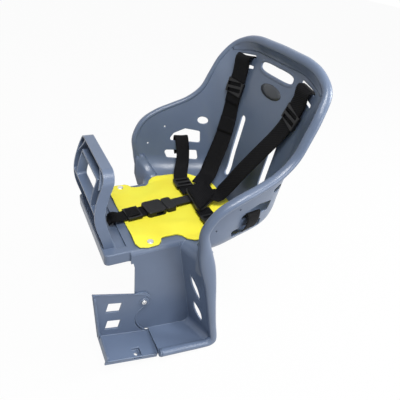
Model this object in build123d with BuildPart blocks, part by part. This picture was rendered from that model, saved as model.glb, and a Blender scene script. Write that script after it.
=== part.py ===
from build123d import *
import math
import os

os.makedirs("parts", exist_ok=True)

# Child bicycle seat: X to the child's left, Y to the back, Z up, the pan top at Z 0,
# the two rivets of the pad and the middle of the mounting holes on the line Y 0.

# Moulded shell
wall = 3.0
rim_radius = 7.0
rim_width = 14.0
rim_turn = 9.0
rim_bend = 6.5

# Pan and the tongue between the legs
pan_half = 103.0
pan_front = -38.0
pan_back = 228.0
pan_skirt = 26.0
pan_edge_radius = 8.0

# Bucket and backrest
bucket_half = 171.0
bucket_front = 58.0
bucket_join = 78.0
arm_height = 120.0
back_height = 303.0
back_recline = 8.0
back_corner = 42.0
corner_blend = 45.0
pan_step = 0.5

# Leg wells
well_width = 63.0
well_depth = 227.0
heel_back = 92.0
well_tilt = 10.5
well_sweep = 0.35
well_bend = 16.0
well_floor_front = -2.0

# Tray that carries the handle
tray_half = 99.0
tray_front = -82.0
tray_depth = 21.0
tray_recess = 5.0

# Grab handle
handle_half = 80.0
handle_top = 142.0
handle_depth = 17.0
handle_bow = 12.0
handle_wall = 3.0
window_low = 74.0
window_high = 118.0
window_half = 50.0
socket_gap = 0.4

# Footrest extension
rest_length = 102.0
rest_height = 106.0
rest_width = 60.0
rest_tilt = 15.0
rest_wall = 3.0
screw_ahead = 33.0
screw_up = 82.0

# Harness
web = 1.6
shoulder_web = 38.0
strap_half = bucket_half * 5 / 9
waist_web = 30.0
crotch_web = 28.0
web_room = 0.6

harness_level = 9.0
hub_lift = 3.0
hub_height = 6.0
slider_length = 28.0
slider_wall = 2.0
buckle_width = 40.0
buckle_height = 11.0
socket_length = 40.0
plug_length = 20.0
prong_gap = 0.5

# Pad and fasteners
pad = 2.5
pad_rise = 1.0
rivet_half = 90.0
rivet_shank = 2.4
rivet_head = 6.0
rivet_rise = 2.0
screw_radius = 2.4
screw_head = 5.0
screw_rise = 3.5
washer_radius = 9.0
washer_rise = 1.2
nut_flats = 8.0
nut_rise = 4.0
hole_gap = 0.3
mount_hole = 6.5
mount_span_x = 70.0
mount_span_y = 36.0


def smooth(value):
    """Ease from 0 to 1."""
    value = min(max(value, 0.0), 1.0)
    return value * value * (3 - 2 * value)


# Middle line of the seat, from the pan up to the crown
back_lean = math.tan(math.radians(back_recline))
crown_back = pan_back + back_height * back_lean
with BuildLine(Plane.YZ) as middle_line:
    FilletPolyline(
        (bucket_join, pan_step),
        (pan_back, pan_step),
        (crown_back, back_height),
        radius=back_corner,
    )

# Rim of the left side, from the front of the wall over the arm rest to the crown
with BuildLine() as rim_line:
    Spline(
        (bucket_half * 0.955, bucket_front, arm_height * 0.32),
        (bucket_half * 0.977, bucket_front + 3, arm_height * 0.76),
        (bucket_half * 0.995, bucket_front + 34, arm_height),
        (bucket_half * 0.982, bucket_front + 90, arm_height + 23),
        (bucket_half * 0.94, pan_back - 28, back_height * 0.574),
        (bucket_half * 0.912, pan_back - 1, back_height * 0.76),
        (bucket_half * 0.807, crown_back - 19, back_height * 0.908),
        (bucket_half * 0.54, crown_back - 8, back_height * 0.985),
        (bucket_half * 0.18, crown_back - 8, back_height * 1.003),
    )


def bucket_plane(step):
    """Plane of one cross section, with its corner, its rim, the height of the rim and the back wall."""
    share = (1 - math.cos(math.pi * step**1.1)) / 2
    middle = middle_line.line @ share
    rim = rim_line.line @ step
    rise = Vector(0, rim.Y - middle.Y, rim.Z - middle.Z)
    corner = rim.X * (0.91 - 0.26 * smooth((step - 0.08) / 0.45))
    plane = Plane(middle, x_dir=(1, 0, 0), z_dir=Vector(1, 0, 0).cross(rise))
    back_wall = wall / rise.normalized().cross(middle_line.line % share).length
    return plane, corner, rim.X, rise.length, back_wall


def section_lines(corner, rim, rise, back_wall):
    """Left halves of the inner and the outer line of one cross section, each with its bends."""
    length = math.hypot(rim - corner, rise)
    along = Vector(rim - corner, rise) / length
    out = Vector(along.Y, -along.X)
    top = Vector(rim, rise) + along * (rim_width - rim_turn)
    edge = top + out * rim_width
    inner = [Vector(corner, 0), top, edge, edge - along * rim_turn]
    slide = (along.X * wall - back_wall) / along.Y
    outer = [
        inner[0] + out * wall + along * slide,
        top + out * wall - along * wall,
        edge - out * wall - along * wall,
        inner[3] - out * wall,
    ]
    blend = min(corner_blend, 0.55 * length, 0.9 * corner)
    return (inner, [blend, rim_bend, rim_bend]), (outer, [blend + wall, rim_bend - wall, rim_bend - wall])


# Line of a leg well seen from the side: pan edge, calf wall, heel and floor
lean = math.tan(math.radians(well_tilt))
half_wall = wall / 2
calf_top = heel_back - (well_depth - half_wall) * lean
floor_front_z = -well_depth + (heel_back - well_floor_front) * lean
well_in = pan_half - wall
well_out = pan_half + well_width
well_shift = (well_out - well_in) * well_sweep
well_line = [
    (calf_top + 36, -half_wall),
    (calf_top, -half_wall),
    (heel_back, -well_depth),
    (well_floor_front - well_shift, -well_depth + (heel_back - well_floor_front + well_shift) * lean),
]

rim_x = bucket_half * 0.955 + rim_radius / 2 + 1
cheek_top = arm_height / 6
well_rim = [
    (bucket_front + 6, cheek_top + 2),
    (bucket_front + 6, 4),
    (calf_top + well_shift + 60 * lean, -60),
    (heel_back + well_shift, -well_depth),
    (well_floor_front, -well_depth + (heel_back + well_shift - well_floor_front) * lean),
]

with BuildPart() as leg_well:
    with BuildSketch(Plane.YZ.offset(well_in)):
        with BuildLine():
            FilletPolyline(*well_line, radius=well_bend)
        trace(line_width=wall)
    extrude(amount=math.hypot(well_out - well_in, well_shift), dir=(1, well_sweep, 0))
    with BuildSketch(Plane.XZ.offset(-well_floor_front)):
        with Locations((well_in, -well_depth)):
            Rectangle(2 * well_width, well_depth, align=(Align.MIN, Align.MIN))
    extrude(amount=well_depth, mode=Mode.SUBTRACT)
    with BuildSketch():
        with BuildLine():
            Polyline(
                (pan_half, bucket_join + 8),
                (rim_x - 24, bucket_join + 8),
                (rim_x - 18, bucket_join),
                (2 * well_out, bucket_join),
                (2 * well_out, well_out),
                (pan_half, well_out),
                close=True,
            )
        make_face()
    extrude(amount=wall + 1, both=True, mode=Mode.SUBTRACT)
    with BuildSketch(Plane.YZ.offset(well_in)):
        with BuildLine():
            Polyline(
                (pan_front, -pan_edge_radius),
                (pan_front + 7, -pan_edge_radius - 30),
                (pan_front + 8, floor_front_z + 10),
                (well_floor_front, floor_front_z),
                (heel_back, -well_depth),
                (calf_top, -half_wall),
                (calf_top, -pan_edge_radius),
                close=True,
            )
        make_face()
    extrude(amount=wall)
    with BuildSketch(Plane.YZ.offset(rim_x - 11)):
        with BuildLine():
            Polyline(
                (bucket_front + 4, cheek_top),
                *well_rim[1:3],
                (well_rim[2][0] + 6, -60),
                (bucket_join + 2, 0),
                (bucket_join + 4, cheek_top),
                close=True,
            )
        make_face()
    extrude(amount=9)
    with BuildLine(Plane.YZ.offset(rim_x)) as well_edge:
        FilletPolyline(*well_rim, radius=well_bend)
    with BuildSketch(Plane(well_edge.line @ 0, z_dir=well_edge.line % 0)):
        Circle(rim_radius)
    sweep(path=well_edge.line)
    with BuildSketch(Plane.XZ):
        for middle, reach, bulge in ((-97, 31, 7), (-167, 25, 9)):
            with BuildLine(Location((131, middle), 18)):
                ThreePointArc((0, reach), (bulge, 3), (0, -reach))
                ThreePointArc((0, -reach), (-bulge, -3), (0, reach))
            make_face()
    extrude(amount=-2 * heel_back, mode=Mode.SUBTRACT)


socket_back = tray_front + wall + handle_depth + 2 * socket_gap
handle_y = tray_front + wall + socket_gap + handle_depth / 2

with BuildPart() as tray:
    with Locations((0, tray_front, 0)):
        Box(
            2 * tray_half,
            pan_front - tray_front + wall,
            tray_depth,
            align=(Align.CENTER, Align.MIN, Align.MAX),
        )
    fillet(tray.edges().filter_by(Axis.Z).group_by(Axis.Y)[0], 8)
    fillet(tray.faces().sort_by(Axis.Z)[-1].edges(), 2.5)
    with Locations((0, socket_back + wall, -tray_recess - wall)):
        Box(
            2 * (tray_half - wall),
            pan_front - socket_back - wall,
            tray_depth,
            align=(Align.CENTER, Align.MIN, Align.MAX),
            mode=Mode.SUBTRACT,
        )
    with Locations((0, socket_back + wall, 0)):
        Box(
            2 * (handle_half + 4),
            pan_front - socket_back - 2 * wall,
            2 * tray_recess,
            align=(Align.CENTER, Align.MIN, Align.CENTER),
            mode=Mode.SUBTRACT,
        )
    with Locations((0, handle_y, wall - tray_depth)):
        Box(
            2 * (handle_half + socket_gap),
            handle_depth + 2 * socket_gap,
            tray_depth,
            align=(Align.CENTER, Align.CENTER, Align.MIN),
            mode=Mode.SUBTRACT,
        )

with BuildPart() as bucket:
    for index in range(13):
        plane, *sizes = bucket_plane(index / 12)
        with BuildSketch(plane):
            with BuildLine():
                ends = []
                for points, bends in section_lines(*sizes):
                    left = [(point.X, point.Y) for point in points]
                    right = [(-x, y) for x, y in reversed(left)]
                    FilletPolyline(*right, *left, radius=bends[::-1] + bends)
                    ends.append((right[0], left[-1]))
                Line(ends[0][0], ends[1][0])
                Line(ends[0][1], ends[1][1])
            make_face()
    loft()

# Planes of the footrest extension, tipped up at the toes
tip = math.radians(rest_tilt)
rest_back_z = floor_front_z - half_wall - 1
rest_ahead = (0, -math.cos(tip), math.sin(tip))
rest_up = (0, math.sin(tip), math.cos(tip))
rest_origin = (pan_half, well_floor_front - 1, rest_back_z)
rest_floor = Plane(rest_origin, x_dir=rest_ahead, z_dir=rest_up)
rest_side = Plane(rest_origin, x_dir=rest_ahead, z_dir=(-1, 0, 0))

hold_high = back_height - 41
hold_line = Edge.make_three_point_arc((-40, hold_high), (0, hold_high - 5), (40, hold_high))
slot_line = (pan_front + socket_back) / 2

with BuildPart() as seat_shell:
    with BuildSketch(Plane.XZ.offset(-pan_front)):
        with BuildLine():
            FilletPolyline(
                (-pan_half + half_wall, -pan_skirt),
                (-pan_half + half_wall, -half_wall),
                (pan_half - half_wall, -half_wall),
                (pan_half - half_wall, -pan_skirt),
                radius=pan_edge_radius,
            )
        trace(line_width=wall)
    extrude(amount=pan_front - heel_back)
    add(tray.part)
    add(bucket.part)
    add(leg_well.part)
    add(leg_well.part.mirror(Plane.YZ))
    # Shoulder slots in pairs, hand hold and long slits of the backrest
    with BuildSketch(Plane.XZ.offset(-pan_back + back_corner)):
        for side in (-1, 1):
            for drop in (39, 59):
                with Locations(Location((side * strap_half, back_height - drop), -side * 8)):
                    SlotOverall(shoulder_web + 8, 6)
            with Locations((side * 57, 87)):
                SlotOverall(136, 16, rotation=90)
        SlotArc(hold_line, 22)
    extrude(amount=-back_corner - 90, mode=Mode.SUBTRACT)
    # Waist slots, oval hole and pin holes of both side walls
    with BuildSketch(Plane.YZ) as wall_holes:
        with BuildLine():
            Polyline((127, 67), (140, 83), (165, 93), (198, 88), (198, 62), close=True)
        make_face()
        with BuildLine():
            Polyline((117, 46), (124, 28), (193, 24), (190, 46), close=True)
        make_face()
        fillet(wall_holes.vertices(), 5)
        with Locations((203, 112)):
            Ellipse(11, 8)
        with Locations((121, 97), (83, 62)):
            Circle(2)
    extrude(amount=bucket_half + 20, both=True, mode=Mode.SUBTRACT)
    # Strap slot of the tray, rivet holes and mounting holes of the pan
    with BuildSketch() as pan_holes:
        with Locations((0, slot_line)):
            SlotOverall(crotch_web + 6, 6)
        with Locations((-rivet_half, 0), (rivet_half, 0)):
            Circle(rivet_shank + hole_gap)
        with GridLocations(mount_span_x, mount_span_y, 2, 2):
            Circle(mount_hole / 2)
    extrude(amount=tray_depth, both=True, mode=Mode.SUBTRACT)
    # Screw holes of the inner walls of both wells
    with BuildSketch(rest_side):
        with Locations((screw_ahead, screw_up)):
            Circle(screw_radius + hole_gap)
    extrude(amount=2 * pan_half, mode=Mode.SUBTRACT)
seat_shell.part.label = "seat_shell"
export_step(seat_shell.part, "parts/seat_shell.step")

# Grab handle, open at the front
handle_points = [
    (handle_y, wall - tray_depth),
    (handle_y, 2),
    (handle_y - 0.83 * handle_bow, 0.3 * handle_top),
    (handle_y - handle_bow, 0.54 * handle_top),
    (handle_y, 0.83 * handle_top),
    (handle_y + 6, handle_top + 4),
]
handle_ends = ((0, 1), (0.1, 1))

with BuildPart() as handle_hollow:
    with BuildSketch(Plane.XZ) as hollow_view:
        with Locations((0, 2)):
            Rectangle(
                2 * (handle_half - handle_wall),
                handle_top - handle_wall - 2,
                align=(Align.CENTER, Align.MIN),
            )
        fillet(hollow_view.vertices().group_by(Axis.Y)[-1], 19)
        with Locations((0, window_low - handle_wall)):
            Rectangle(
                2 * (window_half + handle_wall),
                window_high - window_low + 2 * handle_wall,
                align=(Align.CENTER, Align.MIN),
                mode=Mode.SUBTRACT,
            )
        for side in (-1, 1):
            with Locations(Location((side * (window_half + 10), window_high + 8), side * -52)):
                Rectangle(36, handle_wall, mode=Mode.SUBTRACT)
            with Locations((side * (window_half + 12), window_low - 2)):
                Rectangle(30, handle_wall, mode=Mode.SUBTRACT)
    extrude(amount=handle_top, both=True)
    with BuildSketch(Plane.YZ):
        with BuildLine():
            Spline(*[(y - handle_wall, z) for y, z in handle_points], tangents=handle_ends)
        trace(line_width=handle_depth)
    extrude(amount=handle_half, both=True, mode=Mode.INTERSECT)

with BuildPart() as front_handle:
    with BuildSketch(Plane.XZ) as handle_view:
        with Locations((0, wall - tray_depth)):
            Rectangle(
                2 * handle_half,
                handle_top + tray_depth - wall,
                align=(Align.CENTER, Align.MIN),
            )
        fillet(handle_view.vertices().group_by(Axis.Y)[-1], 22)
    extrude(amount=handle_top, both=True)
    with BuildSketch(Plane.YZ):
        with BuildLine():
            Spline(*handle_points, tangents=handle_ends)
        trace(line_width=handle_depth)
    extrude(amount=handle_half, both=True, mode=Mode.INTERSECT)
    with BuildSketch(Plane.XZ) as window_view:
        with Locations((0, window_low)):
            Rectangle(2 * window_half, window_high - window_low, align=(Align.CENTER, Align.MIN))
        fillet(window_view.vertices(), 5)
    extrude(amount=handle_top, both=True, mode=Mode.SUBTRACT)
    add(handle_hollow.part, mode=Mode.SUBTRACT)
front_handle.part.label = "front_handle"
export_step(front_handle.part, "parts/front_handle.step")

# Footrest extension on the left well
with BuildPart() as left_footrest:
    with BuildSketch(rest_side):
        with BuildLine():
            Polyline((0, 0), (rest_length, 0), (rest_length + 33, rest_height), (52, rest_height - 5))
            ThreePointArc((52, rest_height - 5), (screw_ahead - 12, screw_up + 3), (28, 69))
            ThreePointArc((28, 69), (38, 40), (0, 0))
        make_face()
        for ahead, up in ((89, 72), (80, 28)):
            with Locations((ahead, up)):
                Rectangle(26, 22, mode=Mode.SUBTRACT)
        with Locations((screw_ahead, screw_up)):
            Circle(screw_radius + hole_gap, mode=Mode.SUBTRACT)
    extrude(amount=-rest_wall)
    with BuildSketch(rest_side):
        with BuildLine():
            Polyline(
                (rest_length - rest_wall, 0),
                (rest_length, 0),
                (rest_length + 33, rest_height),
                (rest_length + 33 - rest_wall, rest_height),
                close=True,
            )
        make_face()
    extrude(amount=-11)
    with BuildSketch(rest_floor):
        Rectangle(rest_length, rest_width, align=Align.MIN)
    extrude(amount=-rest_wall)
    with BuildSketch(rest_floor):
        with Locations((0, rest_width - rest_wall)):
            Rectangle(rest_length, rest_wall, align=Align.MIN)
        with Locations((29, rest_width - 23)):
            Rectangle(22, 23, align=Align.MIN)
    extrude(amount=-9)
    with BuildSketch(rest_floor):
        with Locations((rest_length - rest_wall, 0)):
            Rectangle(rest_wall, rest_width, align=Align.MIN)
    extrude(amount=9)
    with BuildSketch(rest_floor):
        with Locations((32, rest_width - 20)):
            Rectangle(16, 24, align=Align.MIN)
    extrude(amount=-6, mode=Mode.SUBTRACT)
    with BuildSketch(rest_floor):
        with Locations((40, rest_width - 11)):
            Circle(3.5)
    extrude(amount=-20, mode=Mode.SUBTRACT)
left_footrest.part.label = "left_footrest"
export_step(left_footrest.part, "parts/left_footrest.step")

# Foam pad on the pan
pad_top = pad_rise + pad
pad_right = [
    (rivet_half - 25, -25),
    (rivet_half + 7, -24),
    (rivet_half + 10, 16),
    (rivet_half - 6, 22),
    (rivet_half - 6, 57),
    (rivet_half + 8, 66),
    (rivet_half + 22, 82),
    (rivet_half + 18, 104),
    (rivet_half + 5, 148),
    (rivet_half - 8, 180),
]
with BuildPart() as seat_pad:
    with BuildSketch(Plane.XY.offset(pad_rise)) as pad_view:
        with BuildLine():
            Polyline(*pad_right, *[(-x, y) for x, y in reversed(pad_right)], close=True)
        make_face()
        fillet(pad_view.vertices(), 5)
        with Locations((-rivet_half, 0), (rivet_half, 0)):
            Circle(rivet_shank + hole_gap, mode=Mode.SUBTRACT)
    extrude(amount=pad)
seat_pad.part.label = "seat_pad"
export_step(seat_pad.part, "parts/seat_pad.step")

# Two rivets that hold the front of the pad
with BuildPart() as pad_rivets:
    with Locations((-rivet_half, 0, pad_top), (rivet_half, 0, pad_top)):
        Cylinder(rivet_head, rivet_rise, align=(Align.CENTER, Align.CENTER, Align.MIN))
    fillet(pad_rivets.edges().group_by(Axis.Z)[-1], rivet_rise * 0.6)
    with Locations((-rivet_half, 0, pad_top), (rivet_half, 0, pad_top)):
        Cylinder(
            rivet_shank,
            pad_top + wall + rivet_rise,
            align=(Align.CENTER, Align.CENTER, Align.MAX),
        )
    with Locations((-rivet_half, 0, -wall), (rivet_half, 0, -wall)):
        Cylinder(1.25 * rivet_shank, rivet_rise, align=(Align.CENTER, Align.CENTER, Align.MAX))
pad_rivets.part.label = "pad_rivets"
export_step(pad_rivets.part, "parts/pad_rivets.step")

# Screw, washer and nut of the footrest extension
screw_at = rest_side.from_local_coords((screw_ahead, screw_up, -rest_wall))
screw_plane = Plane(screw_at, x_dir=rest_ahead, z_dir=(1, 0, 0))
with BuildPart(screw_plane) as footrest_washer:
    Cylinder(washer_radius, washer_rise, align=(Align.CENTER, Align.CENTER, Align.MIN))
    Cylinder(screw_radius + hole_gap, 4 * washer_rise, mode=Mode.SUBTRACT)
footrest_washer.part.label = "footrest_washer"
export_step(footrest_washer.part, "parts/footrest_washer.step")

with BuildPart(screw_plane) as footrest_screw:
    with Locations((0, 0, washer_rise)):
        Cylinder(screw_head, screw_rise, align=(Align.CENTER, Align.CENTER, Align.MIN))
        fillet(footrest_screw.edges().group_by(Axis.X)[-1], 1.2)
        Cylinder(
            screw_radius,
            washer_rise + rest_wall + wall + nut_rise + 2,
            align=(Align.CENTER, Align.CENTER, Align.MAX),
        )
    with BuildSketch(screw_plane.offset(washer_rise + screw_rise)):
        Rectangle(1.4, screw_head)
        Rectangle(screw_head, 1.4)
    extrude(amount=-1.6, mode=Mode.SUBTRACT)
footrest_screw.part.label = "footrest_screw"
export_step(footrest_screw.part, "parts/footrest_screw.step")

with BuildPart() as footrest_nut:
    with BuildSketch(screw_plane.offset(-rest_wall - wall)):
        RegularPolygon(nut_flats / 2, 6, major_radius=False)
        Circle(screw_radius + hole_gap / 3, mode=Mode.SUBTRACT)
    extrude(amount=-nut_rise)
footrest_nut.part.label = "footrest_nut"
export_step(footrest_nut.part, "parts/footrest_nut.step")


def strap(points, first_across, last_across, width):
    """Flat webbing through the points, turned from the first across direction to the last."""
    path = [Vector(*point) for point in points]
    start = Vector(*first_across)
    turn = Vector(*last_across) - start
    last = len(path) - 1
    planes = []
    for index, point in enumerate(path):
        along = path[min(index + 1, last)] - path[max(index - 1, 0)]
        across = start + turn * smooth((index / last - 0.4) / 0.35)
        planes.append(Plane(point, x_dir=across, z_dir=along))
    with BuildPart() as webbing:
        for pair in zip(planes, planes[1:]):
            for plane in pair:
                with BuildSketch(plane):
                    Rectangle(width, web)
            loft(ruled=True)
    return webbing.part


def slider(start, end, share, across, width):
    """Sleeve with a bar, round the straight webbing between two points."""
    start = Vector(*start)
    end = Vector(*end)
    middle = start + (end - start) * share
    along = Plane(middle, x_dir=across, z_dir=end - start)
    room = web + 2 * web_room
    with BuildPart() as sleeve:
        with BuildSketch(along):
            RectangleRounded(width + 2 * (web_room + slider_wall + 0.5), room + 2 * slider_wall, 2)
            Rectangle(width + 2 * web_room, room, mode=Mode.SUBTRACT)
        extrude(amount=slider_length / 2, both=True)
        with BuildSketch(Plane(middle, x_dir=across, z_dir=along.y_dir)):
            for step in (-1, 1):
                with Locations((0, step * slider_length * 0.23)):
                    Rectangle(width - 2, slider_length * 0.27)
        extrude(amount=room + slider_wall, mode=Mode.SUBTRACT)
    return sleeve.part


# Hub that gathers the straps in front of the child
hub_bottom = harness_level + hub_lift
tuck = hub_bottom - web / 2
hub_corners = [(-29, 118), (-53, 176), (10, 172), (56, 111)]
with BuildPart() as harness_hub:
    with BuildSketch(Plane.XY.offset(hub_bottom)) as hub_view:
        with BuildLine():
            Polyline(*hub_corners, close=True)
        make_face()
        fillet(hub_view.vertices(), 8)
    extrude(amount=hub_height)
    fillet(harness_hub.edges().group_by(Axis.Z)[-1], 1.5)
    with BuildSketch(Plane.XY.offset(hub_bottom + hub_height)) as hub_dish:
        add(hub_view.sketch)
        offset(amount=-6, mode=Mode.REPLACE)
    extrude(amount=-1.2, mode=Mode.SUBTRACT)
harness_hub.part.label = "harness_hub"
export_step(harness_hub.part, "parts/harness_hub.step")

# Shoulder straps: behind the backrest, through a slot, down the back and under the hub
slot_high = back_height - 39
slot_back = pan_back + slot_high * back_lean - 4.4
hub_back = hub_corners[2][1]
right_across = (0.96, 0.26, 0.13)
left_across = (0.98, -0.12, -0.13)
right_line = [
    (-strap_half, slot_back + 8, slot_high - 18),
    (-strap_half, slot_back + 7, slot_high - 2),
    (-strap_half, slot_back, slot_high),
    (-strap_half - 0.5, slot_back - 8, slot_high - 1),
    (-strap_half - 1.5, slot_back - 10, slot_high - 9),
    (-strap_half - 3, slot_back - 8.5, slot_high - 26),
    (-strap_half - 6.5, slot_back - 20.7, slot_high - 92),
    (-strap_half - 10, slot_back - 23, slot_high - 108),
    (-strap_half - 3, slot_back - 30, slot_high - 140),
    (-strap_half + 6, hub_back + 41, slot_high - 187),
    (-strap_half * 0.8, hub_back + 24, 34),
    (-67, hub_back + 18, hub_bottom + 3),
    (-60, hub_back + 12, tuck),
    (-55, hub_back + 6, tuck),
    (-45, hub_back - 5, tuck),
]
left_line = [
    (strap_half, slot_back + 8, slot_high - 18),
    (strap_half, slot_back + 7, slot_high - 2),
    (strap_half, slot_back, slot_high),
    (strap_half - 0.5, slot_back - 8, slot_high - 1),
    (strap_half - 1.5, slot_back - 10, slot_high - 9),
    (strap_half - 4, slot_back - 6.5, slot_high - 26),
    (strap_half - 23, slot_back - 13.4, slot_high - 84),
    (strap_half - 46, slot_back - 45, slot_high - 135),
    (32, hub_back + 18, slot_high - 183),
    (24, hub_back + 11, 44),
    (16, hub_back + 9, hub_bottom + 6),
    (13, hub_back + 4, tuck),
    (12, hub_back - 2, tuck),
    (10, hub_back - 14, tuck),
]
with BuildPart() as shoulder_strap_right:
    add(strap(right_line, right_across, (0.78, 0.62, 0), shoulder_web))
shoulder_strap_right.part.label = "shoulder_strap_right"
export_step(shoulder_strap_right.part, "parts/shoulder_strap_right.step")

with BuildPart() as shoulder_strap_left:
    add(strap(left_line, left_across, (1, 0, 0), shoulder_web))
shoulder_strap_left.part.label = "shoulder_strap_left"
export_step(shoulder_strap_left.part, "parts/shoulder_strap_left.step")

with BuildPart() as shoulder_slider_right:
    add(slider(right_line[5], right_line[6], 0.58, right_across, shoulder_web))
shoulder_slider_right.part.label = "shoulder_slider_right"
export_step(shoulder_slider_right.part, "parts/shoulder_slider_right.step")

with BuildPart() as shoulder_slider_left:
    add(slider(left_line[5], left_line[6], 0.5, left_across, shoulder_web))
shoulder_slider_left.part.label = "shoulder_slider_left"
export_step(shoulder_slider_left.part, "parts/shoulder_slider_left.step")


def waist_line(side, inner):
    """Webbing from under the hub, up the side wall and out through its slots."""
    points = [
        (inner, 126, tuck),
        (inner + 12, 126, tuck),
        (inner + 20, 126, tuck),
        (inner + 56, 128, tuck + 1),
        (bucket_half * 0.62, 142, 18),
        (bucket_half * 0.71, 152, 30),
        (bucket_half * 0.78, 156, 50),
        (bucket_half * 0.869, 157, 77),
        (bucket_half * 0.915, 157, 75),
        (bucket_half * 0.918, 157, 62),
        (bucket_half * 0.89, 157, 46),
        (bucket_half * 0.853, 157, 36),
    ]
    return [(side * x, y, z) for x, y, z in points]


waist_across = (0, 1, 0)
waist_right = waist_line(-1, 22)
waist_left = waist_line(1, 36)
with BuildPart() as waist_strap_right:
    add(strap(waist_right, waist_across, (0.25, 1, 0), waist_web))
waist_strap_right.part.label = "waist_strap_right"
export_step(waist_strap_right.part, "parts/waist_strap_right.step")

with BuildPart() as waist_strap_left:
    add(strap(waist_left, waist_across, (-0.25, 1, 0), waist_web))
waist_strap_left.part.label = "waist_strap_left"
export_step(waist_strap_left.part, "parts/waist_strap_left.step")

with BuildPart() as waist_slider_right:
    add(slider(waist_right[3], waist_right[2], 0.5, waist_across, waist_web))
waist_slider_right.part.label = "waist_slider_right"
export_step(waist_slider_right.part, "parts/waist_slider_right.step")

with BuildPart() as waist_slider_left:
    add(slider(waist_left[2], waist_left[3], 0.5, waist_across, waist_web))
waist_slider_left.part.label = "waist_slider_left"
export_step(waist_slider_left.part, "parts/waist_slider_left.step")

# Crotch strap, from under the tray into the buckle
buckle_plane = Plane((4, 38, harness_level), x_dir=(1, 0.1, 0), z_dir=(0, 0, 1))
crotch_line = [
    (0, slot_line, -tray_depth - 6),
    (1, slot_line, -tray_recess + 2),
    (5, slot_line + 3, harness_level - 4),
    buckle_plane.from_local_coords(Vector(0, -socket_length / 2 - 56, 0)),
    buckle_plane.from_local_coords(Vector(0, -socket_length / 2 - 46, 0)),
    buckle_plane.from_local_coords(Vector(0, -socket_length / 2 + 8, 0)),
]
with BuildPart() as crotch_strap:
    add(strap(crotch_line, (1, 0, 0), buckle_plane.x_dir, crotch_web))
crotch_strap.part.label = "crotch_strap"
export_step(crotch_strap.part, "parts/crotch_strap.step")

with BuildPart() as crotch_slider:
    add(slider(crotch_line[4], crotch_line[5], 0.4, buckle_plane.x_dir, crotch_web))
crotch_slider.part.label = "crotch_slider"
export_step(crotch_slider.part, "parts/crotch_slider.step")

# Side release buckle
prong_reach = socket_length * 0.55
prong_width = 6.0
prong_height = buckle_height - 5.6
with BuildPart(buckle_plane) as buckle_socket:
    Box(buckle_width, socket_length, buckle_height)
    fillet(buckle_socket.edges().filter_by(Axis.Z), 7)
    fillet(buckle_socket.faces().sort_by(Axis.Z)[-1].edges(), 2)
    with Locations((0, -socket_length / 2, 0)):
        Box(crotch_web + 2 * web_room, 18, web + 2 * web_room, mode=Mode.SUBTRACT)
    with Locations((0, socket_length / 2, 0)):
        Box(
            buckle_width - 8,
            2 * (prong_reach + prong_gap),
            prong_height + 2 * prong_gap,
            mode=Mode.SUBTRACT,
        )
    with Locations((-buckle_width / 2, 4, 0), (buckle_width / 2, 4, 0)):
        Box(12, 15, prong_height + 2 * prong_gap, mode=Mode.SUBTRACT)
buckle_socket.part.label = "buckle_socket"
export_step(buckle_socket.part, "parts/buckle_socket.step")

plug_start = socket_length / 2 + 1
hub_reach = 96.0
with BuildPart(buckle_plane) as buckle_plug:
    with Locations((0, plug_start + plug_length / 2, 0)):
        Box(buckle_width - 3, plug_length, buckle_height - 1)
    fillet(buckle_plug.edges().filter_by(Axis.Z), 5)
    fillet(buckle_plug.faces().sort_by(Axis.Z)[-1].edges(), 1.5)
    for across in (-1, 0, 1):
        with Locations((across * (buckle_width / 2 - 4 - prong_width / 2 - prong_gap), plug_start + 2, 0)):
            Box(prong_width, prong_reach + 2, prong_height, align=(Align.CENTER, Align.MAX, Align.CENTER))
    with Locations((0, plug_start + plug_length - 2, hub_lift)):
        Box(
            crotch_web - 6,
            hub_reach - plug_start - plug_length,
            3,
            align=(Align.CENTER, Align.MIN, Align.MAX),
        )
buckle_plug.part.label = "buckle_plug"
export_step(buckle_plug.part, "parts/buckle_plug.step")
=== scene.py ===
import math

import bmesh
import bpy
from mathutils import Matrix, Vector
from mathutils.bvhtree import BVHTree
from mathutils.geometry import interpolate_bezier


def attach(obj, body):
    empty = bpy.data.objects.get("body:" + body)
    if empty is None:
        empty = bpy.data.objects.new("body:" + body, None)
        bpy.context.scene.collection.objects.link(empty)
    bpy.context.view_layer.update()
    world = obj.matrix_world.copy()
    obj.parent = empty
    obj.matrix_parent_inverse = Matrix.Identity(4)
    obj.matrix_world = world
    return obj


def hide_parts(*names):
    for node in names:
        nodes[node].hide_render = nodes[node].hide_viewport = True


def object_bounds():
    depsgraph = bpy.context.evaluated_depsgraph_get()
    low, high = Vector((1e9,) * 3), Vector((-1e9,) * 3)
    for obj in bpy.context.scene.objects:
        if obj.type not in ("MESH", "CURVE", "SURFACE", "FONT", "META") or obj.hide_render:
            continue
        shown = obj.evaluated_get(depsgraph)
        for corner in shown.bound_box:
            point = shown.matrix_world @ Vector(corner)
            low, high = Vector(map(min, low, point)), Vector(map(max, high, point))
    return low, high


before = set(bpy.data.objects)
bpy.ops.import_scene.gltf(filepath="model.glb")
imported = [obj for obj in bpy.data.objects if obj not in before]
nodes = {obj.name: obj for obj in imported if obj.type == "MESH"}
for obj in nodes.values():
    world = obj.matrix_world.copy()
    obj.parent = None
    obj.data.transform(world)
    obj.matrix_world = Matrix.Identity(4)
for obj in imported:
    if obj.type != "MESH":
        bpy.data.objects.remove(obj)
cad_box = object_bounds()
MM = 0.001

# Driving sizes of the moulding in millimetres, as in the part's source
wall, rim_radius = 3, 7
bucket_half, bucket_front, bucket_join = 171, 58, 78
arm_height, back_height, pan_back, pan_step = 120, 303, 228, 0.5
pan_half, well_width, well_depth, heel_back = 103, 63, 227, 92
well_sweep, well_lean = 0.35, math.tan(math.radians(10.5))
crown_back = pan_back + back_height * math.tan(math.radians(8))
well_in = pan_half - wall
heel = heel_back + (well_width + wall) * well_sweep
rim_x = bucket_half * 0.955 + rim_radius / 2 + 1


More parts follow.
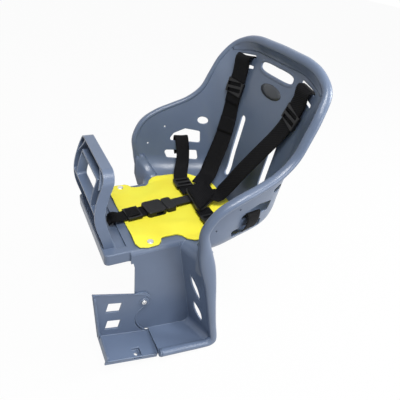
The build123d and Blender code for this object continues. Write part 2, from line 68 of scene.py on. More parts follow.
def mm(points):
    """Points written in millimetres, as vectors in metres."""
    return [Vector(p) * MM for p in points]


# Materials
def new_material(name):
    material = bpy.data.materials.new(name)
    material.use_nodes = True
    tree = material.node_tree
    return material, tree, tree.nodes["Principled BSDF"]


def add_node(tree, kind, inputs=None, **settings):
    node = tree.nodes.new(kind)
    for key, value in settings.items():
        setattr(node, key, value)
    for key, value in (inputs or {}).items():
        node.inputs[key].default_value = value
    return node


def add_ramp(tree, source, stops):
    ramp = add_node(tree, "ShaderNodeValToRGB")
    elements = ramp.color_ramp.elements
    while len(elements) < len(stops):
        elements.new(0.5)
    for element, (place, colour) in zip(elements, stops):
        element.position = place
        element.color = (*colour, 1)
    tree.links.new(source, ramp.inputs["Fac"])
    return ramp


def add_span(tree, source, low, high):
    span = add_node(tree, "ShaderNodeMapRange", {"To Min": low, "To Max": high})
    tree.links.new(source, span.inputs["Value"])
    return span.outputs["Result"]


def add_bump(tree, shader, heights, base=None):
    """A chain of bumps, each one a height output with its depth in metres."""
    last = base
    for height, strength, depth in heights:
        bump = add_node(tree, "ShaderNodeBump", {"Strength": strength, "Distance": depth})
        tree.links.new(height, bump.inputs["Height"])
        if last:
            tree.links.new(last, bump.inputs["Normal"])
        last = bump.outputs["Normal"]
    tree.links.new(last, shader.inputs["Normal"])


# Bevel radius that rounds the shading of edges and also finds the edges for the painted highlight of the
# plastics
bevel_radius = 1.6 * MM
flat_agreement, highlight_agreement, highlight_share = 0.985, 0.8, 0.8


def plastic(name, dark, pale, edge_highlight, grain, low_gloss, high_gloss, shine=0.5):
    """Moulded plastic: cloudy colour, fine spark grain, scuffed patches in the gloss, and a painted
    highlight that makes rounded edges and creases paler.
    """
    material, tree, shader = new_material(name)
    place = add_node(tree, "ShaderNodeTexCoord").outputs["Object"]
    cloud = add_node(tree, "ShaderNodeTexNoise", {"Scale": 9.0, "Detail": 5.0, "Roughness": 0.55})
    fine = add_node(tree, "ShaderNodeTexNoise", {"Scale": grain, "Detail": 3.0, "Roughness": 0.7})
    scuff = add_node(tree, "ShaderNodeTexNoise", {"Scale": 46.0, "Detail": 8.0, "Roughness": 0.7})
    for texture in (cloud, fine, scuff):
        tree.links.new(place, texture.inputs["Vector"])
    colour = add_ramp(tree, cloud.outputs["Fac"], [(0.3, dark), (0.7, pale)])
    # Painted highlight: at edges and in creases, where the bevelled normal parts from the flat one, the
    # colour is mixed towards the paler third colour
    rounded = add_node(tree, "ShaderNodeBevel", {"Radius": bevel_radius}, samples=4).outputs["Normal"]
    flat = add_node(tree, "ShaderNodeNewGeometry").outputs["Normal"]
    agree = add_node(tree, "ShaderNodeVectorMath", operation="DOT_PRODUCT")
    tree.links.new(rounded, agree.inputs[0])
    tree.links.new(flat, agree.inputs[1])
    edge = add_node(
        tree,
        "ShaderNodeMapRange",
        {"From Min": flat_agreement, "From Max": highlight_agreement, "To Min": 0.0, "To Max": highlight_share},
    )
    tree.links.new(agree.outputs["Value"], edge.inputs["Value"])
    highlight_mix = add_node(tree, "ShaderNodeMix", data_type="RGBA")
    highlight_mix.inputs[7].default_value = (*edge_highlight, 1)
    tree.links.new(edge.outputs["Result"], highlight_mix.inputs["Factor"])
    tree.links.new(colour.outputs["Color"], highlight_mix.inputs[6])
    tree.links.new(highlight_mix.outputs[2], shader.inputs["Base Color"])
    gloss = add_span(tree, scuff.outputs["Fac"], low_gloss, high_gloss)
    tree.links.new(gloss, shader.inputs["Roughness"])
    shader.inputs["Specular IOR Level"].default_value = shine
    add_bump(
        tree, shader, [(fine.outputs["Fac"], 0.25, 0.0003), (cloud.outputs["Fac"], 0.12, 0.004)], rounded
    )
    return material


# The third colour of each plastic is the painted highlight on its edges and creases
shell_plastic = plastic(
    "shell_plastic", (0.108, 0.144, 0.22), (0.126, 0.168, 0.254), (0.3, 0.38, 0.52), 1500.0, 0.24, 0.38
)
black_plastic = plastic(
    "black_plastic", (0.005, 0.005, 0.006), (0.01, 0.01, 0.011), (0.02, 0.02, 0.022), 1300.0, 0.28, 0.42,
    shine=0.3,
)
label_plastic = plastic(
    "label_plastic", (0.032, 0.038, 0.046), (0.042, 0.048, 0.058), (0.06, 0.066, 0.076), 2200.0, 0.3, 0.4
)


def steel():
    material, tree, shader = new_material("zinc_steel")
    place = add_node(tree, "ShaderNodeTexCoord").outputs["Object"]
    grain = add_node(tree, "ShaderNodeTexNoise", {"Scale": 900.0, "Detail": 4.0})
    tree.links.new(place, grain.inputs["Vector"])
    colour = add_ramp(tree, grain.outputs["Fac"], [(0.3, (0.62, 0.62, 0.63)), (0.7, (0.8, 0.8, 0.8))])
    tree.links.new(colour.outputs["Color"], shader.inputs["Base Color"])
    tree.links.new(add_span(tree, grain.outputs["Fac"], 0.25, 0.45), shader.inputs["Roughness"])
    shader.inputs["Metallic"].default_value = 1.0
    add_bump(tree, shader, [(grain.outputs["Fac"], 0.2, 0.0001)])
    return material


def webbing():
    """Black woven webbing: ribs across the run with a fine twill between them."""
    material, tree, shader = new_material("black_webbing")
    place = add_node(tree, "ShaderNodeUVMap", uv_map="weave").outputs["UV"]
    ribs = add_node(
        tree, "ShaderNodeTexWave", {"Scale": 190.0, "Distortion": 0.4}, bands_direction="X"
    )
    twill = add_node(
        tree, "ShaderNodeTexWave", {"Scale": 130.0, "Distortion": 0.6}, bands_direction="DIAGONAL"
    )
    lint = add_node(tree, "ShaderNodeTexNoise", {"Scale": 240.0, "Detail": 6.0, "Roughness": 0.75})
    for texture in (ribs, twill, lint):
        tree.links.new(place, texture.inputs["Vector"])
    colour = add_ramp(
        tree,
        lint.outputs["Fac"],
        [(0.35, (0.003, 0.003, 0.0035)), (0.75, (0.009, 0.009, 0.0105))],
    )
    tree.links.new(colour.outputs["Color"], shader.inputs["Base Color"])
    tree.links.new(add_span(tree, twill.outputs["Fac"], 0.55, 0.8), shader.inputs["Roughness"])
    shader.inputs["Specular IOR Level"].default_value = 0.1
    add_bump(
        tree, shader, [(ribs.outputs["Fac"], 0.5, 0.0004), (twill.outputs["Fac"], 0.4, 0.0003)]
    )
    return material


def foam():
    """Yellow foam sheet with a leathery skin and a slightly uneven colour."""
    material, tree, shader = new_material("yellow_foam")
    place = add_node(tree, "ShaderNodeTexCoord").outputs["Object"]
    cloud = add_node(tree, "ShaderNodeTexNoise", {"Scale": 14.0, "Detail": 4.0})
    skin = add_node(tree, "ShaderNodeTexVoronoi", {"Scale": 900.0}, feature="SMOOTH_F1")
    pores = add_node(tree, "ShaderNodeTexNoise", {"Scale": 700.0, "Detail": 5.0})
    for texture in (cloud, skin, pores):
        tree.links.new(place, texture.inputs["Vector"])
    colour = add_ramp(
        tree, cloud.outputs["Fac"], [(0.3, (0.96, 0.84, 0.05)), (0.7, (0.98, 0.92, 0.075))]
    )
    tree.links.new(colour.outputs["Color"], shader.inputs["Base Color"])
    tree.links.new(add_span(tree, pores.outputs["Fac"], 0.38, 0.55), shader.inputs["Roughness"])
    add_bump(
        tree, shader, [(skin.outputs["Distance"], 0.25, 0.0003), (pores.outputs["Fac"], 0.15, 0.0002)]
    )
    return material


zinc_steel = steel()
black_webbing = webbing()
yellow_foam = foam()

node_finish = {
    "seat_shell": shell_plastic,
    "front_handle": shell_plastic,
    "left_footrest": shell_plastic,
    "seat_pad": yellow_foam,
    "pad_rivets": zinc_steel,
    "footrest_screw": zinc_steel,
    "footrest_washer": shell_plastic,
    "footrest_nut": zinc_steel,
}
for name, node in nodes.items():
    finish = node_finish.get(name, black_plastic)
    node.data.materials.clear()
    node.data.materials.append(finish)

# The surface of the moulding, to seat other pieces on
shell_mesh = bmesh.new()
shell_mesh.from_mesh(nodes["seat_shell"].data)
shell_skin = BVHTree.FromBMesh(shell_mesh)
shell_mesh.free()


def add_piece(name, mesh, material, smooth=True):
    piece = bpy.data.objects.new(name, mesh)
    bpy.context.scene.collection.objects.link(piece)
    mesh.materials.append(material)
    if smooth:
        mesh.shade_smooth()
    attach(piece, "root")
    return piece


# Rolled rim: from the front of one foot trough, up over the arm rest and the crown, and down again
def smooth_stations(stations, steps=6):
    """Rows of centre, outward face and half sizes, on a smooth curve through the stations."""
    rows = [list(c) + list(o) + [a, b] for c, o, a, b in stations]
    fine = []
    for index in range(len(rows) - 1):
        before, start = rows[max(index - 1, 0)], rows[index]
        stop, after = rows[index + 1], rows[min(index + 2, len(rows) - 1)]
        for step in range(steps):
            t = step / steps
            fine.append(
                [
                    0.5
                    * (
                        2 * q
                        + (r - p) * t
                        + (2 * p - 5 * q + 4 * r - s) * t * t
                        + (3 * q - p - 3 * r + s) * t**3
                    )
                    for p, q, r, s in zip(before, start, stop, after)
                ]
            )
    fine.append(rows[-1])
    return fine


def row_axes(rows, index):
    """Centre, outward and upward directions of one row."""
    row, last = rows[index], len(rows) - 1
    way = Vector(rows[min(index + 1, last)][:3]) - Vector(rows[max(index - 1, 0)][:3])
    way.normalize()
    out = Vector(row[3:6])
    out = (out - way * out.dot(way)).normalized()
    return Vector(row[:3]), out, out.cross(way)


def tube_mesh(name, rings, looped=False):
    """A closed skin over rings of points in millimetres, with both ends capped or joined."""
    shape = bmesh.new()
    skin = [[shape.verts.new(Vector(point) * MM) for point in ring] for ring in rings]
    count = len(skin[0])
    for first, second in zip(skin, skin[1:] + skin[:1] if looped else skin[1:]):
        for side in range(count):
            other = (side + 1) % count
            shape.faces.new((first[side], first[other], second[other], second[side]))
    if not looped:
        shape.faces.new(skin[0])
        shape.faces.new(list(reversed(skin[-1])))
    bmesh.ops.recalc_face_normals(shape, faces=shape.faces)
    mesh = bpy.data.meshes.new(name)
    shape.to_mesh(mesh)
    shape.free()
    return mesh


def sweep_mesh(name, stations, steps=6, sides=24, fullness=2.4):
    """A closed roll through stations of centre, outward face, and half sizes along and out."""
    rows = smooth_stations(stations, steps)
    rings = []
    for index, row in enumerate(rows):
        centre, out, along = row_axes(rows, index)
        ring = []
        for side in range(sides):
            turn = 2 * math.pi * side / sides
            c, s = math.cos(turn), math.sin(turn)
            u = math.copysign(abs(c) ** (2 / fullness), c) * row[7]
            v = math.copysign(abs(s) ** (2 / fullness), s) * row[6]
            ring.append(centre + out * u + along * v)
        rings.append(ring)
    return tube_mesh(name, rings)


def even_curve(points, steps=24, rounds=40):
    """Points on an even curve through the given ones, as a drawn spline runs."""
    points = [Vector(point) for point in points]
    gaps = [(b - a).length for a, b in zip(points, points[1:])]
    slopes = [(b - a) / gap for a, b, gap in zip(points, points[1:], gaps)]
    ways = slopes + slopes[-1:]
    ways[0] = slopes[0] + (slopes[0] - slopes[1]) * gaps[0] / (gaps[0] + gaps[1])
    ways[-1] = slopes[-1] + (slopes[-1] - slopes[-2]) * gaps[-1] / (gaps[-1] + gaps[-2])
    for _ in range(rounds):
        for index in range(1, len(points) - 1):
            before, after = gaps[index - 1], gaps[index]
            pull = (slopes[index - 1] * after + slopes[index] * before) * 3
            pull -= ways[index - 1] * after + ways[index + 1] * before
            ways[index] = pull / (2 * (before + after))
    fine = []
    for a, b, u, v, gap in zip(points, points[1:], ways, ways[1:], gaps):
        fine += interpolate_bezier(a, a + u * gap / 3, b - v * gap / 3, b, steps + 1)[:-1]
    return fine + points[-1:]


lip_steps = 12
lip_lift = 0.5
lip_line = even_curve(
    [
        (bucket_half * 0.955, bucket_front, arm_height * 0.32),
        (bucket_half * 0.977, bucket_front + 3, arm_height * 0.76),
        (bucket_half * 0.995, bucket_front + 34, arm_height),
        (bucket_half * 0.982, bucket_front + 90, arm_height + 23),
        (bucket_half * 0.94, pan_back - 28, back_height * 0.574),
        (bucket_half * 0.912, pan_back - 1, back_height * 0.76),
        (bucket_half * 0.807, crown_back - 19, back_height * 0.908),
        (bucket_half * 0.54, crown_back - 8, back_height * 0.985),
        (bucket_half * 0.18, crown_back - 8, back_height * 1.003),
    ]
)


def lip_at(share):
    """The point of the bucket's lip at a share of its length."""
    runs = [0.0]
    for a, b in zip(lip_line, lip_line[1:]):
        runs.append(runs[-1] + (b - a).length)
    goal = share * runs[-1]
    index = max(number for number, run in enumerate(runs[:-1]) if run <= goal)
    part = (goal - runs[index]) / (runs[index + 1] - runs[index])
    return lip_line[index].lerp(lip_line[index + 1], part)


sideways = (1, 0, 0)


def sole_row(y, half=7.5):
    """A row of the rim beside the floor of a foot trough."""
    return (rim_x, y, -well_depth + (heel - y) * well_lean), sideways, half, half


def calf_row(z, inset, back, half_along, half_out):
    """A row of the rim beside the calf wall, set in and back a little."""
    place = (rim_x - inset, heel - (z + well_depth) * well_lean + back, z)
    return place, sideways, half_along, half_out


def lip_row(step, lean, swing, half_along, half_out=7.8):
    """A row of the rim beside the lip, turned by the lean and the swing of its wall in degrees."""
    lean, swing = math.radians(lean), math.radians(swing)
    level = math.cos(lean)
    out = Vector((level * math.cos(swing), level * math.sin(swing), -math.sin(lean)))
    return lip_at(step / lip_steps) + out * rim_radius + Vector((0, 0, lip_lift)), out, half_along, half_out


rim_stations = [
    sole_row(0),
    sole_row(40),
    sole_row(heel_back),
    ((rim_x, heel - 6.6, 4.5 - well_depth), sideways, 7.5, 7.5),
    ((rim_x, heel - 2.9, 16 - well_depth), sideways, 7.5, 7.5),
    calf_row(-164, 0, 0, 8.0, 7.6),
    calf_row(-107, 0, 1, 9.2, 7.8),
    calf_row(-54, 0.4, 2, 11.5, 8.2),
    calf_row(-14, 0.8, 0, 14.0, 8.6),
    ((rim_x - 0.2, bucket_front + 10, 14), sideways, 13.0, 8.8),
    ((rim_x + 1.6, bucket_front + 3.5, 42), (0.96, 0.12, -0.2), 10.0, 8.6),
    ((rim_x + 4.5, bucket_front - 0.5, 74), (0.98, 0.1, -0.17), 7.0, 8.0),
    lip_row(2, 10, 2, 6.0),
    lip_row(3, 13, 2, 5.8),
    lip_row(4, 16, 3, 5.8),
    lip_row(5, 18, 5, 5.8),
    lip_row(6, 23.5, 7, 5.8),
    lip_row(7, 29, 13, 5.8),
    lip_row(7.95, 30, 22, 6.2),
    lip_row(8.9, 24, 56, 7.2),
    ((bucket_half * 0.642, crown_back - 5.6, back_height - 13.7), (0.2, 0.95, -0.2), 8.0, 8.0),
    ((75, crown_back - 3.6, back_height - 6), (0.08, 0.98, -0.15), 8.4, 8.8),
    ((38, crown_back - 3.2, back_height - 4.6), (0, 0.99, -0.14), 8.4, 9.6),
    ((0, crown_back - 2, back_height - 4.2), (0, 0.99, -0.14), 8.4, 9.6),
]
other_side = [
    ((-c[0], c[1], c[2]), (-o[0], o[1], o[2]), a, b) for c, o, a, b in reversed(rim_stations[:-1])
]
add_piece("rolled_rim", sweep_mesh("rolled_rim", rim_stations + other_side), shell_plastic)


# Hollow between the rolled rim and the backrest at the crown
def ease(x):
    """A soft start and stop from 0 to 1."""
    x = min(max(x, 0.0), 1.0)
    return x * x * (3 - 2 * x)


fade_start, fade_run = 112, 32
hollow_reach, hollow_narrowing, least_reach = 14, 35, 0.3
rim_overlap, face_share = 0.3, 0.97
hollow_skin, hollow_root = 0.2, 0.6
probe = 40


def hollow_mesh(name, stations, steps=12):
    """A strip that falls from the inner face of the rim to the backrest below it."""
    rows = smooth_stations(stations)
    rings = []
    for index, row in enumerate(rows):
        centre, out, along = row_axes(rows, index)
        share = 1 - ease((abs(row[0]) - fade_start) / fade_run)
        reach = hollow_reach - abs(row[0]) / hollow_narrowing
        reach *= least_reach + (1 - least_reach) * share
        half = row[6]
        face = -face_share * row[7]
        ring, back = [], 0.0
        for step in range(steps + 1):
            t = step / steps
            place = centre + along * (rim_overlap * half - ((1 + rim_overlap) * half + reach) * t)
            hit = shell_skin.ray_cast((place - out * probe) * MM, out, 2 * probe * MM)
            if hit[0]:
                back = hit[3] / MM - probe
            rise = (face - back + hollow_skin) * share * (1 - ease(t))
            ring.append(place + out * (back - hollow_skin + rise))
        ring.append(place + out * (back + hollow_root))
        ring.append(centre + along * rim_overlap * half)
        rings.append(ring)
    return tube_mesh(name, rings)


crown_low = 270
crown = [row for row in rim_stations + other_side if row[0][2] > crown_low]
add_piece("crown_hollow", hollow_mesh("crown_hollow", crown), shell_plastic)

# Lip that leaves the hand hold a straight slot
hold_middle = 259.5
hold_low, hold_high = 241, 278
ray_front, ray_back = 100, 350
slot_half_long, slot_half_high = 49, 8.6
lip_section = [(5.5, 6.9, 0.3), (4.5, 5.9, -0.3), (1.4, 1.4, -0.4), (0, 0, 0.6)]


def hold_wall(x, z, side):
    """The front or back face of the backrest round the hand hold, from hits above and below it."""
    faces = []
    for height in (hold_low, hold_high):
        start = Vector((x, ray_front if side > 0 else ray_back, height)) * MM
        faces.append(shell_skin.ray_cast(start, Vector((0, side, 0)))[0].y / MM)
    return faces[0] + (faces[1] - faces[0]) * (z - hold_low) / (hold_high - hold_low)


def slot_point(turn, half_long, half_high):
    """A point of a round-ended slot."""
    c, s = math.cos(turn), math.sin(turn)
    x = math.copysign(abs(c) ** 0.5, c) * half_long
    z = math.copysign(abs(s) ** 0.62, s) * half_high
    return x, hold_middle + z


def lip_mesh(name, spokes=96):
    """A flat lip on both faces of the backrest, open in the middle."""
    front = [(*row, 1) for row in lip_section]
    back = [(*row, -1) for row in reversed(lip_section)]
    rings = []
    for spoke in range(spokes):
        turn = 2 * math.pi * spoke / spokes
        ring = []
        for wider, higher, sink, side in front + back:
            x, z = slot_point(turn, slot_half_long + wider, slot_half_high + higher)
            ring.append((x, hold_wall(x, z, side) + side * sink, z))
        rings.append(ring)
    return tube_mesh(name, rings, looped=True)


add_piece("hand_hold_lip", lip_mesh("hand_hold_lip"), shell_plastic)

# Front corners of the bucket, closed down to the foot troughs
corner_start, corner_bend, corner_slope = 120.5, 29.5, 1.6
front_lean = Vector((0, bucket_front - bucket_join, arm_height * 0.32 - pan_step)).normalized()


def corner_point(x):
    """The front edge of the bucket: flat, then an arc, then straight up to the lip."""
    arc = corner_bend * math.sin(math.atan(corner_slope))
    run = max(x - corner_start, 0)
    bent = min(run, arc)
    rise = corner_bend - math.sqrt(corner_bend**2 - bent**2) + corner_slope * (run - bent)
    return x, bucket_join + front_lean.y * rise, pan_step + front_lean.z * rise


corner_edge = [corner_point(x) for x in (118, 128, 136, 143, 150, 156.5, 162)]
wall_rests = ((15, 0.1), (9, 0.4), (4, 0.5))
corner_back, corner_wall, corner_drop = 86, 1.6, 6
ray_start, ray_length = 20, 50


def corner_mesh(name, side, foot):
    """A corner that starts on the wall behind it and rolls over the front edge."""
    rings = []
    last = len(corner_edge) - 1
    for index, (x, y, z) in enumerate(corner_edge):
        before, after = corner_edge[max(index - 1, 0)], corner_edge[min(index + 1, last)]
        down = Vector((after[2] - before[2], 0, before[0] - after[0])).normalized()
        ring = []
        for back, lift in wall_rests:
            place = Vector((x, y + back, z))
            start = place - down * ray_start
            start = Vector((side * start.x, start.y, start.z)) * MM
            hit = shell_skin.ray_cast(start, Vector((side * down.x, 0, down.z)), ray_length * MM)[0]
            if hit:
                place = Vector((side * hit.x, hit.y, hit.z)) / MM
            ring.append(place - down * lift)
        edge = [(y - 1, z + 0.1), (y - 3.5, z - 1.8), (y - 5.5, z - 6), (y - 6, -10), (y - 4, -18)]
        ring += [Vector((x, b, c)) for b, c in edge + [(y + foot[0], foot[1])]]
        ring += [Vector((x, corner_back, foot[1] - corner_drop)), ring[0] + down * corner_wall]
        rings.append([(side * p.x, p.y, p.z) for p in ring])
    return tube_mesh(name, rings)


for name, side, foot in (("corner_left", 1, (6, -34)), ("corner_right", -1, (2, -42))):
    add_piece(name, corner_mesh(name, side, foot), shell_plastic)


# Straps
def rounded_run(points, rounds=3):
    """The run of a strap, with each bend eased between its neighbours."""
    for _ in range(rounds):
        eased = [points[0]]
        for a, b in zip(points, points[1:]):
            eased += [a.lerp(b, 0.25), a.lerp(b, 0.75)]
        points = eased + [points[-1]]
    return points


twist_start, twist_run = 0.4, 0.35


def strap_frames(points, first_across, last_across):
    """Each point with its way along, across and out of the face."""
    first, final = Vector(first_across), Vector(last_across)
    last = len(points) - 1
    frames = []
    for index, point in enumerate(points):
        along = (points[min(index + 1, last)] - points[max(index - 1, 0)]).normalized()
        across = first.lerp(final, ease((index / last - twist_start) / twist_run))
        across = (across - along * across.dot(along)).normalized()
        frames.append((point, along, across, across.cross(along).normalized()))
    return frames


full_half, thin_half = 0.5, 0.22
selvedge_start, selvedge_swell = 0.7, 1.12


def ribbon_mesh(name, frames, width, thickness):
    """A closed ribbon with soft selvedges, unrolled flat in its weave map."""
    profile = []
    steps = 8
    for step in range(steps + 1):
        share = -1 + 2 * step / steps
        lift = full_half if abs(share) < 1 else thin_half
        profile.append((share, lift * (selvedge_swell if selvedge_start < abs(share) < 1 else 1.0)))
    ring = [(s, h) for s, h in profile] + [(s, -h) for s, h in reversed(profile)]
    shape = bmesh.new()
    weave = shape.loops.layers.uv.new("weave")
    rows, runs, run = [], [], 0.0
    for index, (point, along, across, out) in enumerate(frames):
        if index:
            run += (point - frames[index - 1][0]).length
        runs.append(run)
        rows.append(
            [
                shape.verts.new(point + across * (s * width / 2) + out * (h * thickness))
                for s, h in ring
            ]
        )
    count = len(ring)
    for r in range(len(rows) - 1):
        for c in range(count):
            d = (c + 1) % count
            face = shape.faces.new((rows[r][c], rows[r][d], rows[r + 1][d], rows[r + 1][c]))
            for loop, (row, col) in zip(face.loops, ((r, c), (r, d), (r + 1, d), (r + 1, c))):
                loop[weave].uv = (runs[row], ring[col][0] * width / 2)
    shape.faces.new(rows[0])
    shape.faces.new(list(reversed(rows[-1])))
    bmesh.ops.recalc_face_normals(shape, faces=shape.faces)
    mesh = bpy.data.meshes.new(name)
    shape.to_mesh(mesh)
    shape.free()
    return mesh


shoulder_web, waist_web, crotch_web, web = 38 * MM, 30 * MM, 28 * MM, 1.6 * MM
right_line = mm(
    [
        (-95, 268.7, 246), (-95, 267.7, 262), (-95, 260.7, 264), (-95.5, 252.7, 263),
        (-96.5, 250.7, 255), (-98, 252.2, 238), (-99.5, 243.5, 172), (-98, 241, 150),
        (-92, 234, 118), (-84, 219, 78), (-75, 200, 40), (-66, 188, 20), (-57, 178, 19.2),
        (-48, 168, 19), (-36, 155, 19),
    ]
)
left_line = mm(
    [
        (95, 268.7, 246), (95, 267.7, 262), (95, 260.7, 264), (94.5, 252.7, 263),
        (93.5, 250.7, 255), (91, 254.2, 238), (72, 247.3, 180), (54, 222, 130), (38, 199, 84),
        (26, 183, 46), (17, 171, 23), (11, 162, 20.8), (5, 152, 20.6), (-2, 140, 20.6),
    ]
)
crotch_line = mm(
    [
        (0, -49.6, -27), (1, -49.6, -3), (5, -46.6, 5), (11.6, -37.6, 9), (10.6, -27.7, 9),
        (5.2, 26.1, 9),
    ]
)


def waist_line(side, inner):
    """From the hub out over the pad, and up the wall to its loop round the bar between two windows."""
    points = [
        (inner, 126, 11.2), (inner + 12, 126, 11.2), (inner + 20, 126, 11.2), (inner + 56, 128, 12.2),
        (bucket_half * 0.62, 142, 18), (bucket_half * 0.71, 152, 30), (bucket_half * 0.78, 156, 50),
        (bucket_half * 0.869, 157, 77), (bucket_half * 0.915, 157, 75), (bucket_half * 0.918, 157, 62),
        (bucket_half * 0.89, 157, 46), (bucket_half * 0.853, 157, 36),
    ]
    return mm([(side * x, y, z) for x, y, z in points])


straps = {
    "shoulder_strap_right": (right_line, (0.96, 0.26, 0.13), (0.78, 0.62, 0), shoulder_web),
    "shoulder_strap_left": (left_line, (0.98, -0.12, -0.13), (1, 0, 0), shoulder_web),
    "waist_strap_right": (waist_line(-1, 22), (0, 1, 0), (0.25, 1, 0), waist_web),
    "waist_strap_left": (waist_line(1, 36), (0, 1, 0), (-0.25, 1, 0), waist_web),
    "crotch_strap": (crotch_line, (1, 0, 0), (0.995, 0.0995, 0), crotch_web),
}
doubled = {
    "shoulder_strap_right": [(0.215, 0.47), (0.53, 0.6)],
    "shoulder_strap_left": [(0.23, 0.44)],
}
fold_gap, fold_width, thread_width = 1.15, 0.99, 0.92
for name, (line, first, final, width) in straps.items():
    frames = strap_frames(rounded_run(line), first, final)
    for number, (start, stop) in enumerate(doubled.get(name, ())):
        last = len(frames) - 1
        part = [
            (point - out * web * fold_gap, along, across, out)
            for point, along, across, out in frames[int(start * last) : int(stop * last)]
        ]
        title = f"{name}_fold_{number}"
        add_piece(title, ribbon_mesh(title, part, width * fold_width, web), black_webbing)
    title = name + "_web"
    piece = add_piece(title, ribbon_mesh(title, frames, width, web), black_webbing)
    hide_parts(name)

# Webbing threaded over the crotch slider
thread_line = mm(
    [
        (10, -19.5, 11), (9.7, -16.5, 13), (9.2, -10, 13.9), (8.4, -3, 13.9), (7.9, 3, 13.1),
        (7.6, 6.5, 11.2),
    ]
)
thread = strap_frames(rounded_run(thread_line), (1, 0, 0), (0.995, 0.0995, 0))
thread_mesh = ribbon_mesh("crotch_strap_fold", thread, crotch_web * thread_width, web)
add_piece("crotch_strap_fold", thread_mesh, black_webbing)


# Sewn patch over the ends of the straps on the hub
def patch_mesh(name, corners, low, high, radius=7, steps=6):
    """A rounded plate of webbing with a soft crown."""
    middle = sum((Vector(c) for c in corners), Vector((0, 0))) / len(corners)
    outline = []
    for index, corner in enumerate(corners):
        here = Vector(corner)
        before = (Vector(corners[index - 1]) - here).normalized() * radius
        after = (Vector(corners[(index + 1) % len(corners)]) - here).normalized() * radius
        for step in range(steps + 1):
            t = step / steps
            outline.append((here + before).lerp(here, t).lerp(here.lerp(here + after, t), t))
    shape = bmesh.new()
    weave = shape.loops.layers.uv.new("weave")
    rows = []
    span = high - low
    for share, height in ((0.97, low), (1, low + 0.35 * span), (0.96, low + 0.8 * span),
                          (0.88, high - 0.3), (0.84, high - 0.9), (0.8, high - 0.3), (0.4, high)):
        row = [middle.lerp(p, share) for p in outline]
        rows.append([shape.verts.new((p.x * MM, p.y * MM, height * MM)) for p in row])
    count = len(outline)
    for first, second in zip(rows, rows[1:]):
        for index in range(count):
            other = (index + 1) % count
            shape.faces.new((first[index], first[other], second[other], second[index]))
    shape.faces.new(rows[-1])
    shape.faces.new(list(reversed(rows[0])))
    bmesh.ops.recalc_face_normals(shape, faces=shape.faces)
    for face in shape.faces:
        for loop in face.loops:
            loop[weave].uv = (loop.vert.co.x, loop.vert.co.y)
    mesh = bpy.data.meshes.new(name)
    shape.to_mesh(mesh)
    shape.free()
    return mesh


hub_corners = [(-27, 120), (-50, 173), (9, 169), (51, 113)]
hub_patch = patch_mesh("hub_patch", hub_corners, 18.2, 23.2)
add_piece("hub_patch", hub_patch, black_webbing)


# Plain oval plate on the backrest
def oval_mesh(name, middle_x, middle_z, half_wide, half_high, spokes=48):
    """A thin oval plate that follows the face behind it."""
    rings = []
    for share, lift in ((1.0, 0.0), (0.96, 0.7), (0.6, 0.9)):
        ring = []
        for spoke in range(spokes):
            turn = 2 * math.pi * spoke / spokes
            x = middle_x + share * half_wide * math.cos(turn)
            z = middle_z + share * half_high * math.sin(turn)
            hit = shell_skin.ray_cast(Vector((x, ray_front, z)) * MM, Vector((0, 1, 0)))[0]
            ring.append((x, hit.y / MM - lift, z))
        rings.append(ring)
    return tube_mesh(name, rings)


add_piece("oval_plate", oval_mesh("oval_plate", 0, 224, 32, 12.5), label_plastic)


# Tongue under the front of the foot trough that laps the footrest
def tongue_mesh(name):
    """A short step down from the trough's floor to the lap."""
    rings = []
    for x in (101, 160):
        rise = well_sweep * (x - well_in) * well_lean
        line = [
            (13, -213.2 + rise), (-1.2, -211.4 + rise), (-1.6, -215), (-13, -213.6),
            (-13, -215.4), (13, -217),
        ]
        rings.append([(x, y, z) for y, z in line])
    return tube_mesh(name, rings)


add_piece("trough_tongue", tongue_mesh("trough_tongue"), shell_plastic, smooth=False)

# Rounded edges of the footrest extension
rest_tip = math.radians(15)
rest_back, rest_floor = -3, -212


def rest_point(x, ahead, up):
    """A point of the footrest, from its distance ahead and up along its tipped floor."""
    return (
        x,
        rest_back - ahead * math.cos(rest_tip) + up * math.sin(rest_tip),
        rest_floor + ahead * math.sin(rest_tip) + up * math.cos(rest_tip),
    )


side_edge = [
    (102, 0), (113, 35.3), (124, 70.7), (134.4, 104), (133, 105.8), (110, 104.5), (80, 102.7),
    (52, 101), (40, 99.3), (29, 94), (22, 86), (21, 77), (28, 69), (35, 60), (38.4, 50), (38, 40),
    (33, 28), (22, 14), (8, 3),
]
outward, forward = (1, 0.02, 0.3), (0, -1, 0.2)
side_front = ((102, 8), (113, 38), (124, 71.5), (134, 105.5))
beads = [
    ([rest_point(105.4, a, u) for a, u in side_edge], outward, 1.5),
    ([rest_point(113.6, a, u) for a, u in side_front], outward, 1.5),
    ([rest_point(106, a, 0.2) for a in (2, 30, 60, 99)], outward, 1.3),
    ([rest_point(162.4, a, -0.8) for a in (1, 30, 60, 101)], outward, 1.5),
    ([rest_point(x, 100.5, 8.8) for x in (105, 125, 145, 162.6)], forward, 1.6),
]
for number, (line, face, radius) in enumerate(beads):
    title = f"footrest_bead_{number}"
    stations = [(point, face, radius, radius) for point in line]
    add_piece(title, sweep_mesh(title, stations, 4, 12, 2.0), shell_plastic)

# Seat pad
pad_half = [
    (0, -25), (64, -26), (88, -27), (98, -22), (101, -8), (100, 12), (95, 18), (86, 22),
    (84, 30), (84, 52), (90, 60), (102, 66), (110, 76), (113, 88), (112, 110), (108, 140),
    (100, 162), (82, 182), (50, 193), (0, 197),
]
pad_thickness = 2.5 * MM


above_pan, below_pan = 60 * MM, -10 * MM


def pan_height(x, y):
    """The height of the pan under a point, or zero past its edge."""
    hit = shell_skin.ray_cast(Vector((x, y, above_pan)), Vector((0, 0, -1)))[0]
    return hit.z if hit and hit.z > below_pan else 0.0


pad_seat, pad_least = 0.4 * MM, 1.0 * MM
buckle_x, buckle_clear, rivet_x, rivet_clear = 5, 30, 90, 9
wave_height, curl_height = 1.7, 1.6


